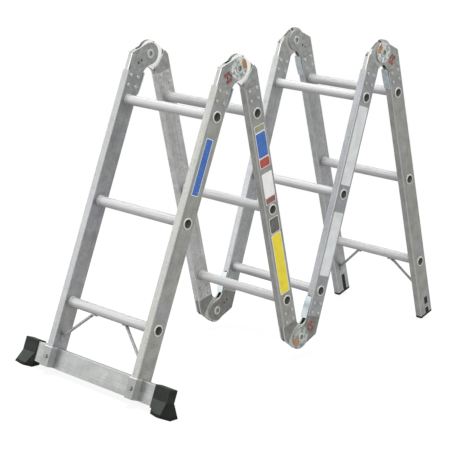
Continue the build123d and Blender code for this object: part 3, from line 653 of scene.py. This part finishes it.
def grow(tree, name, body, place, settings):
    """Run a tree with these settings, keep its mesh, put it in place and let it ride on a body."""
    piece = bpy.data.objects.new(name, bpy.data.meshes.new(name))
    bpy.context.scene.collection.objects.link(piece)
    modifier = piece.modifiers.new("grow", "NODES")
    modifier.node_group = tree
    for item in tree.interface.items_tree:
        if item.in_out == "INPUT":
            modifier[item.identifier] = settings[item.name]
    bpy.context.view_layer.update()
    mesh = bpy.data.meshes.new_from_object(piece.evaluated_get(bpy.context.evaluated_depsgraph_get()))
    piece.modifiers.remove(modifier)
    piece.data = mesh
    mesh.transform(place)
    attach(piece, body)
    return piece


sheet_tree = label_tree()
print("label inputs", [item.name for item in sheet_tree.interface.items_tree if item.in_out == "INPUT"])

# %% [markdown]
# Film is printed plastic: even in colour, a little glossy, faded in slow patches and scuffed in
# small ones. Foil is the same film with a metal coat. The foil on the hinges is rubbed through in
# places, where the zinc shows grey and a little green.

# %% Printed film and foil
SCUFF_EDGE = 0.12


def printed_film(name, dark, light, metallic=0.0, scuff=("#c9c9c6", 4.0, 0.62, 0.55)):
    """Printed film or foil, faded in patches and scuffed: tone, size, threshold and share."""
    material = bpy.data.materials.new(name)
    tree = empty_tree(material)
    place = add(tree, "ShaderNodeTexCoord").outputs["Object"]
    fade = add(tree, "ShaderNodeTexNoise", {"Vector": place, "Scale": per_metre(25.0), "Detail": 4.0})
    scuff_tone, size, start, most = scuff
    marks = add(tree, "ShaderNodeTexNoise", {"Vector": place, "Scale": per_metre(size), "Detail": 3.0})
    tone = wash(tree, linear(dark), fade, NOISE_LOW, NOISE_HIGH, light)
    tone = wash(tree, tone, marks, start, start + SCUFF_EDGE, scuff_tone, most)
    finish_with(tree, tone, fade, (0.34, 0.48), marks, 0.02, metallic)
    return material


films = {
    "blue": printed_film("film_blue", "#2458a4", "#3468b2"),
    "red": printed_film("film_red", "#9c382f", "#ab463b"),
    "white": printed_film("film_white", "#e0e0de", "#ececea"),
    "yellow": printed_film("film_yellow", "#dcc81c", "#e8d62c"),
    "grey": printed_film("film_grey", "#4a4a48", "#5c5c59"),
    "olive": printed_film("film_olive", "#84866f", "#96987f"),
    "brown": printed_film("film_brown", "#744340", "#86524d"),
    "foil": printed_film("foil", "#c6c9c9", "#dadcdc", 0.8),
    "worn foil": printed_film("worn_foil", "#b4bab6", "#e2e5e3", 0.4, ("#747f79", 11.0, 0.46, 0.8)),
    "dull foil": printed_film("dull_foil", "#8f9692", "#b8bdba", 0.4, ("#6a756f", 11.0, 0.46, 0.8)),
    "worn orange": printed_film("worn_orange", "#a86a3c", "#c08a58", 0.0, ("#7a6350", 9.0, 0.48, 0.7)),
    "worn red": printed_film("worn_red", "#86382f", "#9c4a40", 0.0, ("#4f3430", 8.0, 0.48, 0.8)),
}
print("films", sorted(films))

# %% [markdown]
# Each panel is placed in its section's own frame, by how far it is across and up the stile, and
# then turned to lie on the outer face of the right stile.

# %% Stick the labels on
FILM = 0.1 * MM
RIM = 1.6
LABEL_CORNER = 3.0 * MM
LABEL_FACING = Matrix(((0, 0, 1, 0), (1, 0, 0, 0), (0, 1, 0, 0), (0, 0, 0, 1)))
# section, name, colour of the middle, width and length, middle across and middle up the stile
labels = (
    ("front", "panel", "blue", 26.0, 150.0, -2.0, 147.0),
    ("second", "crown", "olive", 40.0, 20.0, 0.0, 236.5),
    ("second", "top", "blue", 40.0, 72.0, 0.0, 190.0),
    ("second", "upper", "red", 40.0, 28.0, 0.0, 139.5),
    ("second", "middle", "white", 40.0, 70.0, 0.0, 74.5),
    ("second", "base", "brown", 40.0, 20.0, 0.0, 29.0),
    ("second", "lower", "grey", 38.0, 46.0, -1.0, -46.0),
    ("second", "bottom", "yellow", 38.0, 184.0, -1.0, -164.0),
    ("third", "upper", "foil", 42.0, 228.0, 0.0, 140.0),
    ("third", "lower", "foil", 42.0, 184.0, 0.0, -145.0),
)
for section, name, colour, width, length, across, up in labels:
    place = sections[section] @ Matrix.Translation((OUTER_FACE, across * MM, up * MM)) @ LABEL_FACING
    grow(sheet_tree, f"{section}_label_{name}", f"{section}_section", place, {
        "Width": width * MM,
        "Length": length * MM,
        "Inner width": (width - 2 * RIM) * MM,
        "Inner length": (length - 2 * RIM) * MM,
        "Corner": LABEL_CORNER,
        "Film": FILM,
        "Middle": films[colour],
        "Rim": films["foil" if colour == "foil" else "white"],
    })
print("labels", len(labels))

# %% [markdown]
# The outer face of every hinge carries a round of pale foil with an orange sector opposite the
# lock and a red strip on either side of the lock's window, so that a climber sees at a glance
# whether the bar is home. All three are flat grids that one tree lays about the pivot, and it
# puts the same set on the outer face of the left hinge and of the right one.

# %% A tree that makes the lock marks
ARC_POINTS = 49


def spoke_sheet(tree, near, far, low, high, start, end):
    """A sheet about the X axis, facing +X: from one radius, one side and one turn to another."""
    grid = add(tree, "GeometryNodeMeshGrid", {
        "Size X": 1.0, "Size Y": 1.0, "Vertices X": 2, "Vertices Y": ARC_POINTS,
    })
    share = add(tree, "ShaderNodeSeparateXYZ", {0: add(tree, "GeometryNodeInputPosition")}).outputs
    out = add(tree, "ShaderNodeMapRange", {0: share[0], 1: -0.5, 2: 0.5, 3: near, 4: far})
    aside = add(tree, "ShaderNodeMapRange", {0: share[1], 1: -0.5, 2: 0.5, 3: low, 4: high})
    turn = add(tree, "ShaderNodeMapRange", {0: share[1], 1: -0.5, 2: 0.5, 3: start, 4: end})
    spoke = add(tree, "ShaderNodeCombineXYZ", {1: out, 2: aside})
    place = add(tree, "ShaderNodeVectorRotate", {"Vector": spoke, "Angle": turn}, rotation_type="X_AXIS")
    return add(tree, "GeometryNodeSetPosition", {"Geometry": grid, "Position": place})


def on_both_faces(tree, sheet, face, thickness, material):
    """Films from a sheet on the two outer faces of a pair of hinges, with their material."""
    films_made = []
    for way, outward in ((1.0, sheet), (-1.0, add(tree, "GeometryNodeFlipFaces", {"Mesh": sheet}))):
        out = add(tree, "ShaderNodeVectorMath", {
            0: add(tree, "ShaderNodeCombineXYZ", {0: face}), "Scale": way,
        }, operation="SCALE")
        film = film_from(tree, outward, thickness)
        films_made.append(add(tree, "GeometryNodeTransform", {"Geometry": film, "Translation": out}))
    pair = add(tree, "GeometryNodeJoinGeometry", {0: films_made})
    real = add(tree, "GeometryNodeRealizeInstances", {0: pair})
    return add(tree, "GeometryNodeSetMaterial", {"Geometry": real, "Material": material})


def marks_tree():
    """Foil round, orange sector and two red strips, about the X axis."""
    tree, given = start_tree(
        "lock_marks",
        ("Face", "Upper face", "Film", "Foil near", "Foil far", "Foil start", "Foil end",
         "Sector near", "Sector far", "Sector start", "Sector end",
         "Strip near", "Strip far", "Strip side", "Strip edge", "Lock turn"),
        ("Foil", "Sector", "Strips"),
    )
    foil = spoke_sheet(
        tree, given["Foil near"], given["Foil far"], 0.0, 0.0, given["Foil start"], given["Foil end"]
    )
    sector = spoke_sheet(
        tree, given["Sector near"], given["Sector far"], 0.0, 0.0, given["Sector start"], given["Sector end"]
    )
    layers = [
        on_both_faces(tree, foil, given["Face"], given["Film"], given["Foil"]),
        on_both_faces(tree, sector, given["Upper face"], given["Film"], given["Sector"]),
    ]
    side, edge = given["Strip side"], given["Strip edge"]
    minus = [add(tree, "ShaderNodeMath", {0: s, 1: -1.0}, operation="MULTIPLY") for s in (edge, side)]
    for low, high in ((side, edge), minus):
        strip = spoke_sheet(
            tree, given["Strip near"], given["Strip far"], low, high, given["Lock turn"], given["Lock turn"]
        )
        layers.append(on_both_faces(tree, strip, given["Face"], given["Film"], given["Strips"]))
    add(tree, "NodeGroupOutput", {0: add(tree, "GeometryNodeJoinGeometry", {0: layers})})
    return tree


mark_tree = marks_tree()
print("lock mark nodes", len(mark_tree.nodes))

# %% [markdown]
# The tree draws the marks of a hinge with its cheeks above a stile that stands to the front. The
# other hinges are turned over from it, and the bottom ones get a duller, darker foil.

# %% Put the lock marks on the hinges
LOCK_TURN = math.radians(227.0)
SECTOR_HALF = math.radians(33.0)
half_turn_x = Matrix.Rotation(math.pi, 4, "X")
half_turn_z = Matrix.Rotation(math.pi, 4, "Z")
cheeks = {
    "front_top": ("front", "worn foil", Matrix.Translation((0, PIVOT_OFFSET, PIVOT_RISE))),
    "bottom": ("third", "dull foil", Matrix.Translation((0, -PIVOT_OFFSET, -PIVOT_RISE)) @ half_turn_x),
    "rear_top": ("rear", "worn foil", Matrix.Translation((0, -PIVOT_OFFSET, PIVOT_RISE)) @ half_turn_z),
}
for name, (section, foil, place) in cheeks.items():
    grow(mark_tree, f"{name}_lock_marks", f"{section}_section", sections[section] @ place, {
        "Face": STILE_X + CHEEK_FACE,
        "Upper face": STILE_X + CHEEK_FACE + FILM,
        "Film": FILM,
        "Foil near": 12.9 * MM,
        "Foil far": 29.4 * MM,
        "Foil start": LOCK_TURN,
        "Foil end": LOCK_TURN + math.tau,
        "Sector near": 14.2 * MM,
        "Sector far": 28.6 * MM,
        "Sector start": LOCK_TURN + math.pi - SECTOR_HALF,
        "Sector end": LOCK_TURN + math.pi + SECTOR_HALF,
        "Strip near": 35.0 * MM,
        "Strip far": 57.0 * MM,
        "Strip side": 4.5 * MM,
        "Strip edge": 14.5 * MM,
        "Lock turn": LOCK_TURN,
        "Foil": films[foil],
        "Sector": films["worn orange"],
        "Strips": films["worn red"],
    })
print("lock marks on", len(cheeks), "pairs of hinges")

# %% [markdown]
# Last, the view layer is brought up to date. Nothing added here may make the ladder larger.

# %% Finish
bpy.context.view_layer.update()
